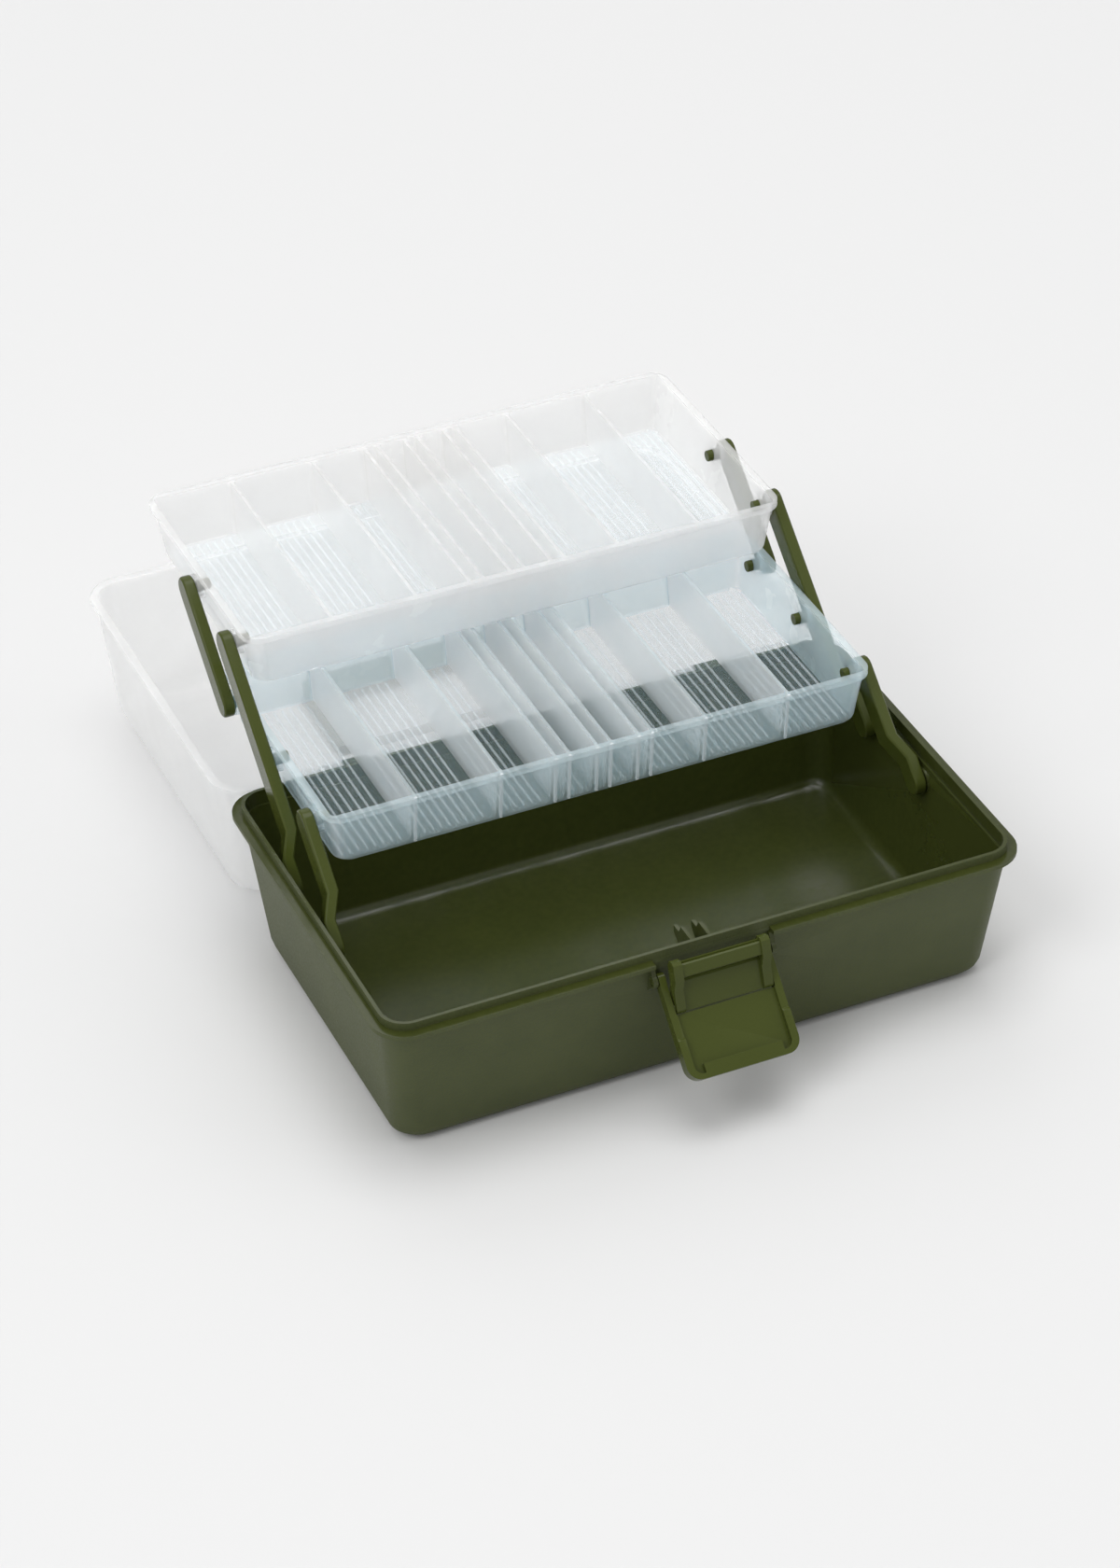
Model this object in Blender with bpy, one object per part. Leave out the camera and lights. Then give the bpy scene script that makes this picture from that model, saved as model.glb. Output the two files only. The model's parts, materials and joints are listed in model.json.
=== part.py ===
"""Two-tray cantilever tackle box, shown open.

Frame: metres, X along the box, Y from the latch side to the hinge side, Z up. The origin is the centre of
the base's underside. The lid lies open behind the base, and the trays stand up and back on their arms.
"""

import math

import bmesh
import bpy
from mathutils import Matrix, Vector

MM = 0.001

# Base tub. Half sizes are measured from the box's centre line.
FLANGE_HALF_X = 165.0 * MM
FLANGE_HALF_Y = 105.5 * MM
FLANGE_RADIUS = 18.0 * MM
FLANGE_WIDTH = 4.8 * MM
FLANGE_THICKNESS = 2.2 * MM
FLANGE_TOP = 77.7 * MM
LIP_HEIGHT = 4.0 * MM
LIP_THICKNESS = 1.8 * MM
FOOT_HALF_X = 153.5 * MM
FOOT_HALF_Y = 88.0 * MM
FOOT_FILLET = 8.0 * MM
WALL = 2.6 * MM
FLOOR = 2.5 * MM
LEDGE_DROP = 8.0 * MM
FLANGE_UNDERSIDE = FLANGE_TOP - FLANGE_THICKNESS
RIM_TOP = FLANGE_TOP + LIP_HEIGHT
CUT_MARGIN = 1.0 * MM
LATCH_GAP_SKIN = 0.2 * MM

# Tray rest, two ribs on the front wall. The outline, as (y, z), is a stop in front of the closed tray and a
# seat under it.
REST_RIBS_X = (-8.0 * MM, 1.0 * MM)
REST_RIB_HALF = 0.9 * MM
REST_OUTLINE = [
    (-98.2 * MM, 80.4 * MM),
    (-86.9 * MM, 80.4 * MM),
    (-84.6 * MM, 76.2 * MM),
    (-79.0 * MM, 76.2 * MM),
    (-79.0 * MM, 72.5 * MM),
    (-96.2 * MM, 58.0 * MM),
]

# Lid, given as it sits when closed.
LID_GAP = 0.3 * MM
LID_TOP = 151.6 * MM
LID_WALL = 2.0 * MM
LID_RIM_INSET = 2.6 * MM
LID_TOP_INSET = 9.0 * MM
LID_FILLET = 9.0 * MM
LID_UNDERSIDE = FLANGE_TOP + LID_GAP
LID_RIM_TOP = LID_UNDERSIDE + FLANGE_THICKNESS
LID_MOUTH_GAP = 0.4 * MM
LID_LIP_GAP = 0.5 * MM

# Catch tab under the lid's front rim, as (y, z) with the lid closed. Its lip points forward, for the hook.
TAB_HALF_X = 17.0 * MM
TAB_OUTLINE = [
    (-101.6 * MM, 79.0 * MM),
    (-104.6 * MM, 79.0 * MM),
    (-103.3 * MM, 73.0 * MM),
    (-103.3 * MM, 67.6 * MM),
    (-105.9 * MM, 67.4 * MM),
    (-105.4 * MM, 66.6 * MM),
    (-103.6 * MM, 66.0 * MM),
    (-101.6 * MM, 66.0 * MM),
]

# Lid hinge.
HINGE_Y = FLANGE_HALF_Y + 0.3 * MM
HINGE_Z = FLANGE_TOP + LID_GAP / 2
HINGE_X = 95.0 * MM
KNUCKLE_RADIUS = 2.8 * MM
KNUCKLE_LENGTH = 12.0 * MM
KNUCKLE_SIDE_GAP = 0.4 * MM
HINGE_PIN_RADIUS = 1.1 * MM
PIN_GAP = 0.3 * MM
KNUCKLE_WEB_INSET = 0.1 * MM
KNUCKLE_WEB_EDGE = 0.2 * MM
KNUCKLE_WEB_NEAR = 0.4 * MM
KNUCKLE_WEB_FAR = 2.6 * MM
BASE_WEB_REACH = 5.2 * MM
LID_WEB_REACH = 4.2 * MM
HINGE = Vector((0, HINGE_Y, HINGE_Z))
LID_OPEN_ANGLE = -math.pi

# Trays and their linkage.
TRAY_HALF_X = 143.0 * MM
TRAY_HALF_Y = 73.5 * MM
TRAY_HEIGHT = 30.6 * MM
TRAY_RIM_WIDTH = 1.7 * MM
TRAY_RIM_HEIGHT = 3.0 * MM
TRAY_TAPER = 4.0 * MM
TRAY_WALL = 1.8 * MM
TRAY_FLOOR = 1.6 * MM
TRAY_RADIUS = 10.0 * MM
TRAY_FILLET = 3.0 * MM
TRAY_BOSS_RADIUS = 6.4 * MM
TRAY_BOSS_ROOT = 4.0 * MM
COMPARTMENT_RADIUS = 2.5 * MM
SLOT_RADIUS = 2.1 * MM
DIVIDER_DROP = 1.0 * MM
WIDE_DIVIDERS = (97.5 * MM, 53.5 * MM)
SLOT_CENTRES = (-21.6 * MM, 0.0, 21.6 * MM)
SLOT_HALF = 2.7 * MM
DIVIDER = 1.8 * MM
TRAY_SHIFT = -0.8 * MM
PEG_DEPTH = 11.2 * MM

ARM_LENGTH = 61.5 * MM
ARM_SPACING = 54.25 * MM
ARM_OPEN_ANGLE = math.radians(40.9)
ARM_HALF_WIDTH = 6.5 * MM
ARM_THICKNESS = 6.0 * MM
ARM_INNER_X = 143.6 * MM
ARM_JOG = 6.0 * MM
JOG_START = 11.5 * MM
JOG_END = 24.5 * MM
PEG_RADIUS = 2.9 * MM
PEG_REACH = 8.4 * MM
PEG_ROOT = 2.0 * MM
BASE_PEG_REACH = 2.6 * MM
ARM_EDGE = 0.8 * MM
PIVOT_BOSS_RADIUS = 6.2 * MM
PIVOT_BOSS_HEIGHT = 2.2 * MM
PIVOT_BOSS_GAP = 0.4 * MM
REAR_PIVOT_Y = 42.0 * MM
PIVOT_Z = 65.0 * MM
FRONT_PIVOT_Y = REAR_PIVOT_Y - ARM_SPACING
ARM_STEP = Vector((0, math.cos(ARM_OPEN_ANGLE), math.sin(ARM_OPEN_ANGLE))) * ARM_LENGTH
LOWER_PIVOT = Vector((0, REAR_PIVOT_Y, PIVOT_Z)) + ARM_STEP
UPPER_PIVOT = LOWER_PIVOT + ARM_STEP

# Latch. The lever hangs from lugs under the flange, and the hook frame stands on the lever. In the lever's
# own frame its pivot is the origin and it hangs down. In the hook's own frame it stands up on its pivot.
# Y runs back in both.
LATCH_GAP_HALF = 30.0 * MM
LEVER_PIVOT = Vector((0, -102.8 * MM, 67.0 * MM))
LEVER_OPEN_ANGLE = math.radians(-44)
LEVER_HALF_X = 28.6 * MM
LEVER_ARM = 3.4 * MM
LEVER_LENGTH = 50.0 * MM
LEVER_HALF_DEPTH = 3.2 * MM
LEVER_STEP_DEPTH = 0.9 * MM
LEVER_STEP_HIGH = 29.0 * MM
LEVER_STEP_LOW = 30.2 * MM
LEVER_NECK = 5.0 * MM
LEVER_CORNER = 7.0 * MM
LEVER_INNER_X = LEVER_HALF_X - LEVER_ARM
PLATE_TOP = 18.2 * MM
PLATE_FRONT = -0.4 * MM
PLATE_BACK = 1.6 * MM
RECESS_HALF_X = LEVER_INNER_X - 0.4 * MM
RECESS_CORNER = 4.0 * MM
RECESS_FOOT = 2.6 * MM
LEDGE_HALF_X = RECESS_HALF_X - 4.8 * MM
LEDGE_TOP = 7.0 * MM
BACK_HOLLOW_HALF_X = RECESS_HALF_X - 1.0 * MM
BACK_HOLLOW_FOOT = 3.0 * MM
STUB_RADIUS = 2.0 * MM
STUB_ROOT = 1.0 * MM
STUB_REACH = 2.6 * MM

LUG_THICKNESS = 2.2 * MM
LUG_SLOPE = 2.2 * MM
LUG_SIDE_GAP = 0.6 * MM
LUG_RADIUS = 3.3 * MM
LUG_FOOT = 57.0 * MM
LUG_TOP = 75.0 * MM
LUG_BITE = 1.0 * MM
LUG_BORE_LENGTH = 4.0 * MM

HOOK_ARM = 14.6 * MM
HOOK_OPEN_ANGLE = math.radians(-18)
HOOK_HALF_X = 24.6 * MM
HOOK_CHEEK = 4.6 * MM
HOOK_OVERLAP = 1.0 * MM
HOOK_STUB_RADIUS = 1.8 * MM
HOOK_STUB_ROOT = 2.0 * MM
HOOK_STUB_REACH = 2.7 * MM
HOOK_BORE_DEPTH = 2.5 * MM
HOOK_PIVOT = LEVER_PIVOT + Matrix.Rotation(LEVER_OPEN_ANGLE, 3, "X") @ Vector((0, 0, -HOOK_ARM))
CHEEK_FOOT = (-0.6 * MM, 0.0)
CHEEK_FOOT_RADIUS = 2.9 * MM
CHEEK_OUTLINE = [
    (2.3 * MM, 9.0 * MM),
    (0.2 * MM, 12.0 * MM),
    (0.2 * MM, 21.5 * MM),
    (-2.2 * MM, 24.0 * MM),
    (-5.4 * MM, 24.0 * MM),
    (-6.8 * MM, 22.4 * MM),
    (-6.8 * MM, 14.5 * MM),
    (-3.5 * MM, 9.0 * MM),
]
WEB_OUTLINE = [
    (-1.4 * MM, -2.4 * MM),
    (1.0 * MM, -2.4 * MM),
    (1.0 * MM, 12.8 * MM),
    (-0.8 * MM, 12.8 * MM),
    (-1.4 * MM, 12.2 * MM),
]
BAR_OUTLINE = [
    (-5.8 * MM, 15.8 * MM),
    (-2.8 * MM, 15.8 * MM),
    (-2.8 * MM, 22.9 * MM),
    (-3.9 * MM, 22.9 * MM),
    (-3.9 * MM, 21.4 * MM),
    (-4.4 * MM, 21.4 * MM),
    (-4.4 * MM, 22.3 * MM),
    (-5.2 * MM, 22.3 * MM),
    (-5.8 * MM, 21.7 * MM),
]

# Handle, given with the lid closed. It folds into a pocket in the lid's top.
HANDLE_PIVOT = Vector((0, -9.5 * MM, 148.4 * MM))
HANDLE_HALF_X = 62.0 * MM
HANDLE_REACH = 62.0 * MM
HANDLE_ARM = 13.0 * MM
HANDLE_GRIP = 18.0 * MM
HANDLE_BOTTOM = 145.9 * MM
HANDLE_TOP = 155.4 * MM
HANDLE_CORNER = 10.0 * MM
HANDLE_INNER_CORNER = 6.0 * MM
HANDLE_ROUNDING = 1.8 * MM
HANDLE_EYE_RADIUS = 2.5 * MM
HANDLE_EYE_INSET = 0.5 * MM
HANDLE_STUB_ROOT = 6.0 * MM
HANDLE_STUB_GAP = 0.6 * MM
POCKET_GAP = 0.6 * MM
POCKET_DEPTH = 6.2 * MM
POCKET_WALL = 4.0 * MM
POCKET_FLOOR = 2.0 * MM
POCKET_BACK = 8.5 * MM

CORNER_STEPS = 8
COMPARTMENT_STEPS = 4
FILLET_STEPS = 4
ARC_STEPS = 8
ROUND_STEPS = 20
SHARP_ANGLE = math.radians(60)
NEAR = 1.0 * MM


def clear_scene():
    """Remove every object, so that the script can be run again."""
    for item in list(bpy.data.objects):
        bpy.data.objects.remove(item, do_unlink=True)


def new_collection(name):
    collection = bpy.data.collections.new(name)
    bpy.context.scene.collection.children.link(collection)
    return collection


def plastic(name, color, roughness, transmission=0.0):
    """Return a moulded plastic material."""
    material = bpy.data.materials.new(name)
    material.use_nodes = True
    shader = material.node_tree.nodes["Principled BSDF"]
    shader.inputs["Base Color"].default_value = (*color, 1.0)
    shader.inputs["Roughness"].default_value = roughness
    shader.inputs["Metallic"].default_value = 0.0
    shader.inputs["Transmission Weight"].default_value = transmission
    material.diffuse_color = (*color, 1.0)
    return material


def add_object(name, mesh, collection, material=None):
    item = bpy.data.objects.new(name, mesh)
    collection.objects.link(item)
    if material:
        mesh.materials.append(material)
    return item


def mesh_from(name, bm):
    """Close a bmesh into a new mesh whose faces point outwards."""
    bmesh.ops.recalc_face_normals(bm, faces=bm.faces)
    mesh = bpy.data.meshes.new(name)
    bm.to_mesh(mesh)
    bm.free()
    return mesh


def arc(centre, radius, start, end, steps=ARC_STEPS):
    """Points of an arc in a plane. The angles are in degrees."""
    points = []
    for step in range(steps + 1):
        angle = math.radians(start + (end - start) * step / steps)
        points.append((centre[0] + radius * math.cos(angle), centre[1] + radius * math.sin(angle)))
    return points


def mirrored(points):
    """The other half of an outline that is symmetric about its first coordinate, in running order."""
    return [(-first, second) for first, second in reversed(points)]


def rounded_ring(bm, half_x, half_y, radius, z, centre_x=0.0, steps=CORNER_STEPS):
    """Add the points of a rounded rectangle at height z."""
    ring = []
    for corner, (side_x, side_y) in enumerate(((1, 1), (-1, 1), (-1, -1), (1, -1))):
        centre = (centre_x + side_x * (half_x - radius), side_y * (half_y - radius))
        for x, y in arc(centre, radius, 90 * corner, 90 * corner + 90, steps):
            ring.append(bm.verts.new((x, y, z)))
    return ring


def add_skin(bm, rings):
    """Join rings of equal count into one closed skin, capped at the first and the last."""
    for lower, upper in zip(rings, rings[1:]):
        for i in range(len(lower)):
            j = (i + 1) % len(lower)
            bm.faces.new((lower[i], lower[j], upper[j], upper[i]))
    bm.faces.new(rings[0])
    bm.faces.new(rings[-1])


def add_loft(bm, sections):
    """Add a closed skin through rounded rectangles of different sizes."""
    add_skin(bm, [rounded_ring(bm, *section) for section in sections])


def add_box(bm, low, high):
    """Add a box between two corners."""
    size = [b - a for a, b in zip(low, high)]
    centre = [(a + b) / 2 for a, b in zip(low, high)]
    matrix = Matrix.Translation(centre) @ Matrix.Diagonal((*size, 1.0))
    bmesh.ops.create_cube(bm, size=1.0, matrix=matrix)


def add_pin(bm, x0, x1, y, z, radius):
    """Add a cylinder along X."""
    matrix = Matrix.Translation(((x0 + x1) / 2, y, z)) @ Matrix.Rotation(math.pi / 2, 4, "Y")
    bmesh.ops.create_cone(
        bm,
        cap_ends=True,
        segments=ROUND_STEPS,
        radius1=radius,
        radius2=radius,
        depth=abs(x1 - x0),
        matrix=matrix,
    )


def add_extrusion(bm, points, vector):
    """Extrude a flat outline, given as points in space, along a vector."""
    face = bm.faces.new([bm.verts.new(point) for point in points])
    grown = bmesh.ops.extrude_face_region(bm, geom=[face])["geom"]
    moved = [item for item in grown if isinstance(item, bmesh.types.BMVert)]
    bmesh.ops.translate(bm, verts=moved, vec=vector)


def add_prism(bm, outline, x0, x1):
    """Add a prism whose (y, z) outline is extruded along X."""
    add_extrusion(bm, [(x0, y, z) for y, z in outline], (x1 - x0, 0, 0))


def round_edges(bm, edges, offset, segments):
    bmesh.ops.bevel(bm, geom=edges, offset=offset, segments=segments, profile=0.5, affect="EDGES")


def sharp_edges(bm):
    """The edges at which a closed shape turns sharply."""
    bmesh.ops.recalc_face_normals(bm, faces=bm.faces)
    return [edge for edge in bm.edges if edge.calc_face_angle() > SHARP_ANGLE]


def shape(target, tool_name, bm, operation):
    """Join a bmesh to the target, or cut it away, with a Boolean modifier."""
    tool = add_object(tool_name, mesh_from(tool_name, bm), CUTTERS)
    tool.hide_render = True
    tool.display_type = "WIRE"
    modifier = target.modifiers.new(tool_name, "BOOLEAN")
    modifier.operation = operation
    modifier.object = tool
    modifier.solver = "EXACT"


def smooth(item, angle=35):
    """Shade round faces smooth and keep corners sharp."""
    item.data.shade_smooth()
    item.data.set_sharp_from_angle(angle=math.radians(angle))


def place(item, location, angle=0.0, pivot=Vector()):
    """Put an object's origin on its joint, turned about X, and carry its Boolean tools along.

    pivot is where the joint lies in the coordinates that the object is modelled in.
    """
    tools = [modifier.object for modifier in item.modifiers]
    for thing in [item] + tools:
        thing.data.transform(Matrix.Translation(-pivot))
        thing.location = location
        thing.rotation_euler = (angle, 0, 0)


def wall_half(z, top, foot):
    """Half size of the base's drafted outer wall at height z."""
    return foot + (top - foot) * z / FLANGE_UNDERSIDE


def base_section(z, inset, radius):
    half_x = wall_half(z, FLANGE_HALF_X - FLANGE_WIDTH, FOOT_HALF_X) - inset
    half_y = wall_half(z, FLANGE_HALF_Y - FLANGE_WIDTH, FOOT_HALF_Y) - inset
    return (half_x, half_y, radius, z)


def fillet_sections(section, radius, start_z, direction):
    """Sections of a rounded edge, from the flat face at start_z into the wall."""
    sections = []
    for step in range(FILLET_STEPS + 1):
        angle = math.pi / 2 * step / FILLET_STEPS
        z = start_z + direction * radius * (1 - math.cos(angle))
        sections.append(section(z, radius * (1 - math.sin(angle))))
    return sections


def make_base(material):
    """The tub: drafted walls, a flange with an upright lip, latch lugs, tray pivots and hinge knuckles."""
    outer_radius = FLANGE_RADIUS - FLANGE_WIDTH
    inner_fillet = FOOT_FILLET - WALL
    lip_x = FLANGE_HALF_X - FLANGE_WIDTH
    lip_y = FLANGE_HALF_Y - FLANGE_WIDTH
    inner_lip = (lip_x - LIP_THICKNESS, lip_y - LIP_THICKNESS, outer_radius - LIP_THICKNESS)
    outer = fillet_sections(lambda z, inset: base_section(z, inset, outer_radius), FOOT_FILLET, 0.0, 1)
    inner = fillet_sections(
        lambda z, inset: base_section(z, inset + WALL, outer_radius - WALL), inner_fillet, FLOOR, 1
    )
    sections = outer + [
        (lip_x, lip_y, outer_radius, FLANGE_UNDERSIDE),
        (FLANGE_HALF_X, FLANGE_HALF_Y, FLANGE_RADIUS, FLANGE_UNDERSIDE),
        (FLANGE_HALF_X, FLANGE_HALF_Y, FLANGE_RADIUS, FLANGE_TOP),
        (lip_x, lip_y, outer_radius, FLANGE_TOP),
        (lip_x, lip_y, outer_radius, RIM_TOP),
        (*inner_lip, RIM_TOP),
        (*inner_lip, RIM_TOP - LEDGE_DROP),
        base_section(RIM_TOP - LEDGE_DROP, WALL, outer_radius - WALL),
    ]
    sections += reversed(inner)
    bm = bmesh.new()
    add_loft(bm, sections)
    base = add_object("base", mesh_from("base", bm), PARTS, material)
    shape(base, "flange_gaps", base_gaps(), "DIFFERENCE")
    shape(base, "base_lugs", base_lugs(), "UNION")
    shape(base, "base_bosses", base_bosses(), "UNION")
    shape(base, "base_bores", base_bores(), "DIFFERENCE")
    smooth(base)


def base_gaps():
    """Gaps in the base's flange, for the latch and for the lid's knuckles."""
    bm = bmesh.new()
    wall_y = FLANGE_HALF_Y - FLANGE_WIDTH
    low_z = FLANGE_UNDERSIDE - CUT_MARGIN
    high_z = FLANGE_TOP + CUT_MARGIN
    add_box(
        bm,
        (-LATCH_GAP_HALF, -FLANGE_HALF_Y - CUT_MARGIN, low_z),
        (LATCH_GAP_HALF, -wall_y - LATCH_GAP_SKIN, high_z),
    )
    half = KNUCKLE_LENGTH / 2 + KNUCKLE_SIDE_GAP
    for x in lid_knuckles():
        add_box(
            bm,
            (x - half, HINGE_Y - KNUCKLE_RADIUS - PIN_GAP, low_z),
            (x + half, FLANGE_HALF_Y + CUT_MARGIN, high_z),
        )
    return bm


def lid_knuckles():
    """Centres of the lid's knuckles, one on each side of each base knuckle."""
    pitch = KNUCKLE_LENGTH + KNUCKLE_SIDE_GAP
    return [side * HINGE_X + step * pitch for side in (-1, 1) for step in (-1, 1)]


def add_knuckle(bm, x):
    add_pin(bm, x - KNUCKLE_LENGTH / 2, x + KNUCKLE_LENGTH / 2, HINGE_Y, HINGE_Z, KNUCKLE_RADIUS)


def add_knuckle_web(bm, x, reach, side_z):
    """A web that joins a knuckle to its flange, below the hinge's axis for side_z -1 and above it for 1."""
    half = KNUCKLE_LENGTH / 2 - KNUCKLE_WEB_INSET
    low_z, high_z = sorted((HINGE_Z + side_z * KNUCKLE_WEB_NEAR, HINGE_Z + side_z * KNUCKLE_WEB_FAR))
    add_box(bm, (x - half, HINGE_Y - reach, low_z), (x + half, HINGE_Y - KNUCKLE_WEB_EDGE, high_z))


def lug_outline():
    """Outline of a latch lug in the (y, z) plane: round at the lever's pivot, and rooted in the wall."""
    pivot = (LEVER_PIVOT.y, LEVER_PIVOT.z)
    wall_y = LUG_BITE - wall_half(LUG_FOOT, FLANGE_HALF_Y - FLANGE_WIDTH, FOOT_HALF_Y)
    root = [(wall_y, LUG_FOOT), (wall_y - LUG_SLOPE, LUG_TOP), (LEVER_PIVOT.y + LUG_BITE, LUG_TOP)]
    return arc(pivot, LUG_RADIUS, 110, 270) + root


def base_lugs():
    """The lever's lugs and the base's hinge knuckles."""
    bm = bmesh.new()
    lug_inner = LEVER_HALF_X + LUG_SIDE_GAP
    for side in (-1, 1):
        add_prism(bm, lug_outline(), side * lug_inner, side * (lug_inner + LUG_THICKNESS))
        add_knuckle(bm, side * HINGE_X)
    return bm


def base_bosses():
    """Rings round the arm pivots inside the end walls, webs under the knuckles, and the tray rest."""
    bm = bmesh.new()
    boss_inner = ARM_INNER_X + ARM_JOG + ARM_THICKNESS + PIVOT_BOSS_GAP
    boss_outer = boss_inner + PIVOT_BOSS_HEIGHT
    for side in (-1, 1):
        for y in (FRONT_PIVOT_Y, REAR_PIVOT_Y):
            add_pin(bm, side * boss_inner, side * boss_outer, y, PIVOT_Z, PIVOT_BOSS_RADIUS)
        add_knuckle_web(bm, side * HINGE_X, BASE_WEB_REACH, -1)
    for x in REST_RIBS_X:
        add_prism(bm, REST_OUTLINE, x - REST_RIB_HALF, x + REST_RIB_HALF)
    return bm


def base_bores():
    """Blind holes for the arms' pegs, holes for the lever's stubs, and bores for the hinge pins."""
    bm = bmesh.new()
    arm_outer = ARM_INNER_X + ARM_JOG + ARM_THICKNESS
    peg_start = arm_outer - CUT_MARGIN
    peg_end = arm_outer + BASE_PEG_REACH + PIN_GAP
    stub_end = LEVER_HALF_X + LUG_BORE_LENGTH
    for side in (-1, 1):
        for y in (FRONT_PIVOT_Y, REAR_PIVOT_Y):
            add_pin(bm, side * peg_start, side * peg_end, y, PIVOT_Z, PEG_RADIUS + PIN_GAP)
        stub_y, stub_z = LEVER_PIVOT.y, LEVER_PIVOT.z
        add_pin(bm, side * LEVER_HALF_X, side * stub_end, stub_y, stub_z, STUB_RADIUS + PIN_GAP)
        add_hinge_bore(bm, side * HINGE_X, KNUCKLE_LENGTH)
    return bm


def add_hinge_bore(bm, x, reach):
    add_pin(bm, x - reach, x + reach, HINGE_Y, HINGE_Z, HINGE_PIN_RADIUS + PIN_GAP)


def lid_section(z, inset, radius):
    """Section of the closed lid's drafted outer wall at height z, less an inset."""
    share = (z - LID_RIM_TOP) / (LID_TOP - LID_RIM_TOP)
    taper = LID_RIM_INSET + (LID_TOP_INSET - LID_RIM_INSET) * share
    return (FLANGE_HALF_X - taper - inset, FLANGE_HALF_Y - taper - inset, radius, z)


def make_lid(material):
    """The frosted lid, a drafted shell with a rim flange, a handle pocket and a catch for the latch."""
    outer_radius = FLANGE_RADIUS - LID_RIM_INSET
    inner_radius = outer_radius - LID_WALL
    mouth_inset = FLANGE_WIDTH - LID_MOUTH_GAP
    mouth = (FLANGE_HALF_X - mouth_inset, FLANGE_HALF_Y - mouth_inset, inner_radius)
    outer = fillet_sections(lambda z, inset: lid_section(z, inset, outer_radius), LID_FILLET, LID_TOP, -1)
    inner = fillet_sections(
        lambda z, inset: lid_section(z, inset + LID_WALL, inner_radius),
        LID_FILLET - LID_WALL,
        LID_TOP - LID_WALL,
        -1,
    )
    sections = outer + [
        lid_section(LID_RIM_TOP, 0.0, outer_radius),
        (FLANGE_HALF_X, FLANGE_HALF_Y, FLANGE_RADIUS, LID_RIM_TOP),
        (FLANGE_HALF_X, FLANGE_HALF_Y, FLANGE_RADIUS, LID_UNDERSIDE),
        (*mouth, LID_UNDERSIDE),
        (*mouth, RIM_TOP + LID_LIP_GAP),
    ]
    sections += reversed(inner)
    bm = bmesh.new()
    add_loft(bm, sections)
    lid = add_object("lid", mesh_from("lid", bm), PARTS, material)
    shape(lid, "lid_gaps", lid_gaps(), "DIFFERENCE")
    shape(lid, "lid_additions", lid_additions(), "UNION")
    shape(lid, "lid_webs", lid_webs(), "UNION")
    pocket = bmesh.new()
    add_box(pocket, *pocket_box(0.0, POCKET_DEPTH, LID_TOP + CUT_MARGIN))
    shape(lid, "lid_pocket", pocket, "DIFFERENCE")
    shape(lid, "lid_bores", lid_bores(), "DIFFERENCE")
    smooth(lid)
    place(lid, HINGE, LID_OPEN_ANGLE, HINGE)


def pocket_box(grow, depth, top):
    """Corners of the handle's pocket in the lid's top, grown by a wall."""
    half_x = HANDLE_HALF_X + POCKET_GAP + grow
    front = HANDLE_PIVOT.y - HANDLE_REACH - POCKET_GAP - min(grow, POCKET_FLOOR)
    back = HANDLE_PIVOT.y + POCKET_BACK + min(grow, POCKET_FLOOR)
    return (-half_x, front, LID_TOP - depth), (half_x, back, top)


def lid_additions():
    """The handle pocket's body, the lid's knuckles and the catch tab."""
    bm = bmesh.new()
    add_box(bm, *pocket_box(POCKET_WALL, POCKET_DEPTH + POCKET_FLOOR, LID_TOP - CUT_MARGIN))
    for x in lid_knuckles():
        add_knuckle(bm, x)
    add_prism(bm, TAB_OUTLINE, -TAB_HALF_X, TAB_HALF_X)
    return bm


def lid_webs():
    """Webs that join the lid's knuckles to its flange."""
    bm = bmesh.new()
    for x in lid_knuckles():
        add_knuckle_web(bm, x, LID_WEB_REACH, 1)
    return bm


def lid_gaps():
    """Gaps in the lid's flange round the base's knuckles."""
    bm = bmesh.new()
    half = KNUCKLE_LENGTH / 2 + KNUCKLE_SIDE_GAP
    reach = KNUCKLE_RADIUS + PIN_GAP
    for side in (-1, 1):
        x = side * HINGE_X
        add_box(
            bm,
            (x - half, HINGE_Y - reach, LID_UNDERSIDE - CUT_MARGIN),
            (x + half, FLANGE_HALF_Y + CUT_MARGIN, HINGE_Z + reach),
        )
    return bm


def lid_bores():
    """The handle's pivot holes and the hinge pins' bores."""
    bm = bmesh.new()
    hole_start = HANDLE_HALF_X + POCKET_GAP - HANDLE_EYE_INSET
    hole_end = HANDLE_HALF_X + POCKET_GAP + STUB_REACH + HANDLE_STUB_GAP
    for side in (-1, 1):
        add_hinge_bore(bm, side * HINGE_X, 2 * KNUCKLE_LENGTH)
        add_pin(
            bm, side * hole_start, side * hole_end, HANDLE_PIVOT.y, HANDLE_PIVOT.z, STUB_RADIUS + PIN_GAP
        )
    return bm


def handle_outline():
    """Outline of the U-shaped handle in the (x, y) plane, from its pivots towards the front."""
    inner_x = HANDLE_HALF_X - HANDLE_ARM
    grip_back = HANDLE_GRIP - HANDLE_REACH
    corner = (HANDLE_HALF_X - HANDLE_CORNER, HANDLE_CORNER - HANDLE_REACH)
    inner_corner = (inner_x - HANDLE_INNER_CORNER, grip_back + HANDLE_INNER_CORNER)
    outer = [(HANDLE_HALF_X, 0.0)] + arc(corner, HANDLE_CORNER, 0, -90)
    inner = arc(inner_corner, HANDLE_INNER_CORNER, -90, 0) + [(inner_x, 0.0)]
    return outer + mirrored(outer) + mirrored(inner) + inner


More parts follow.
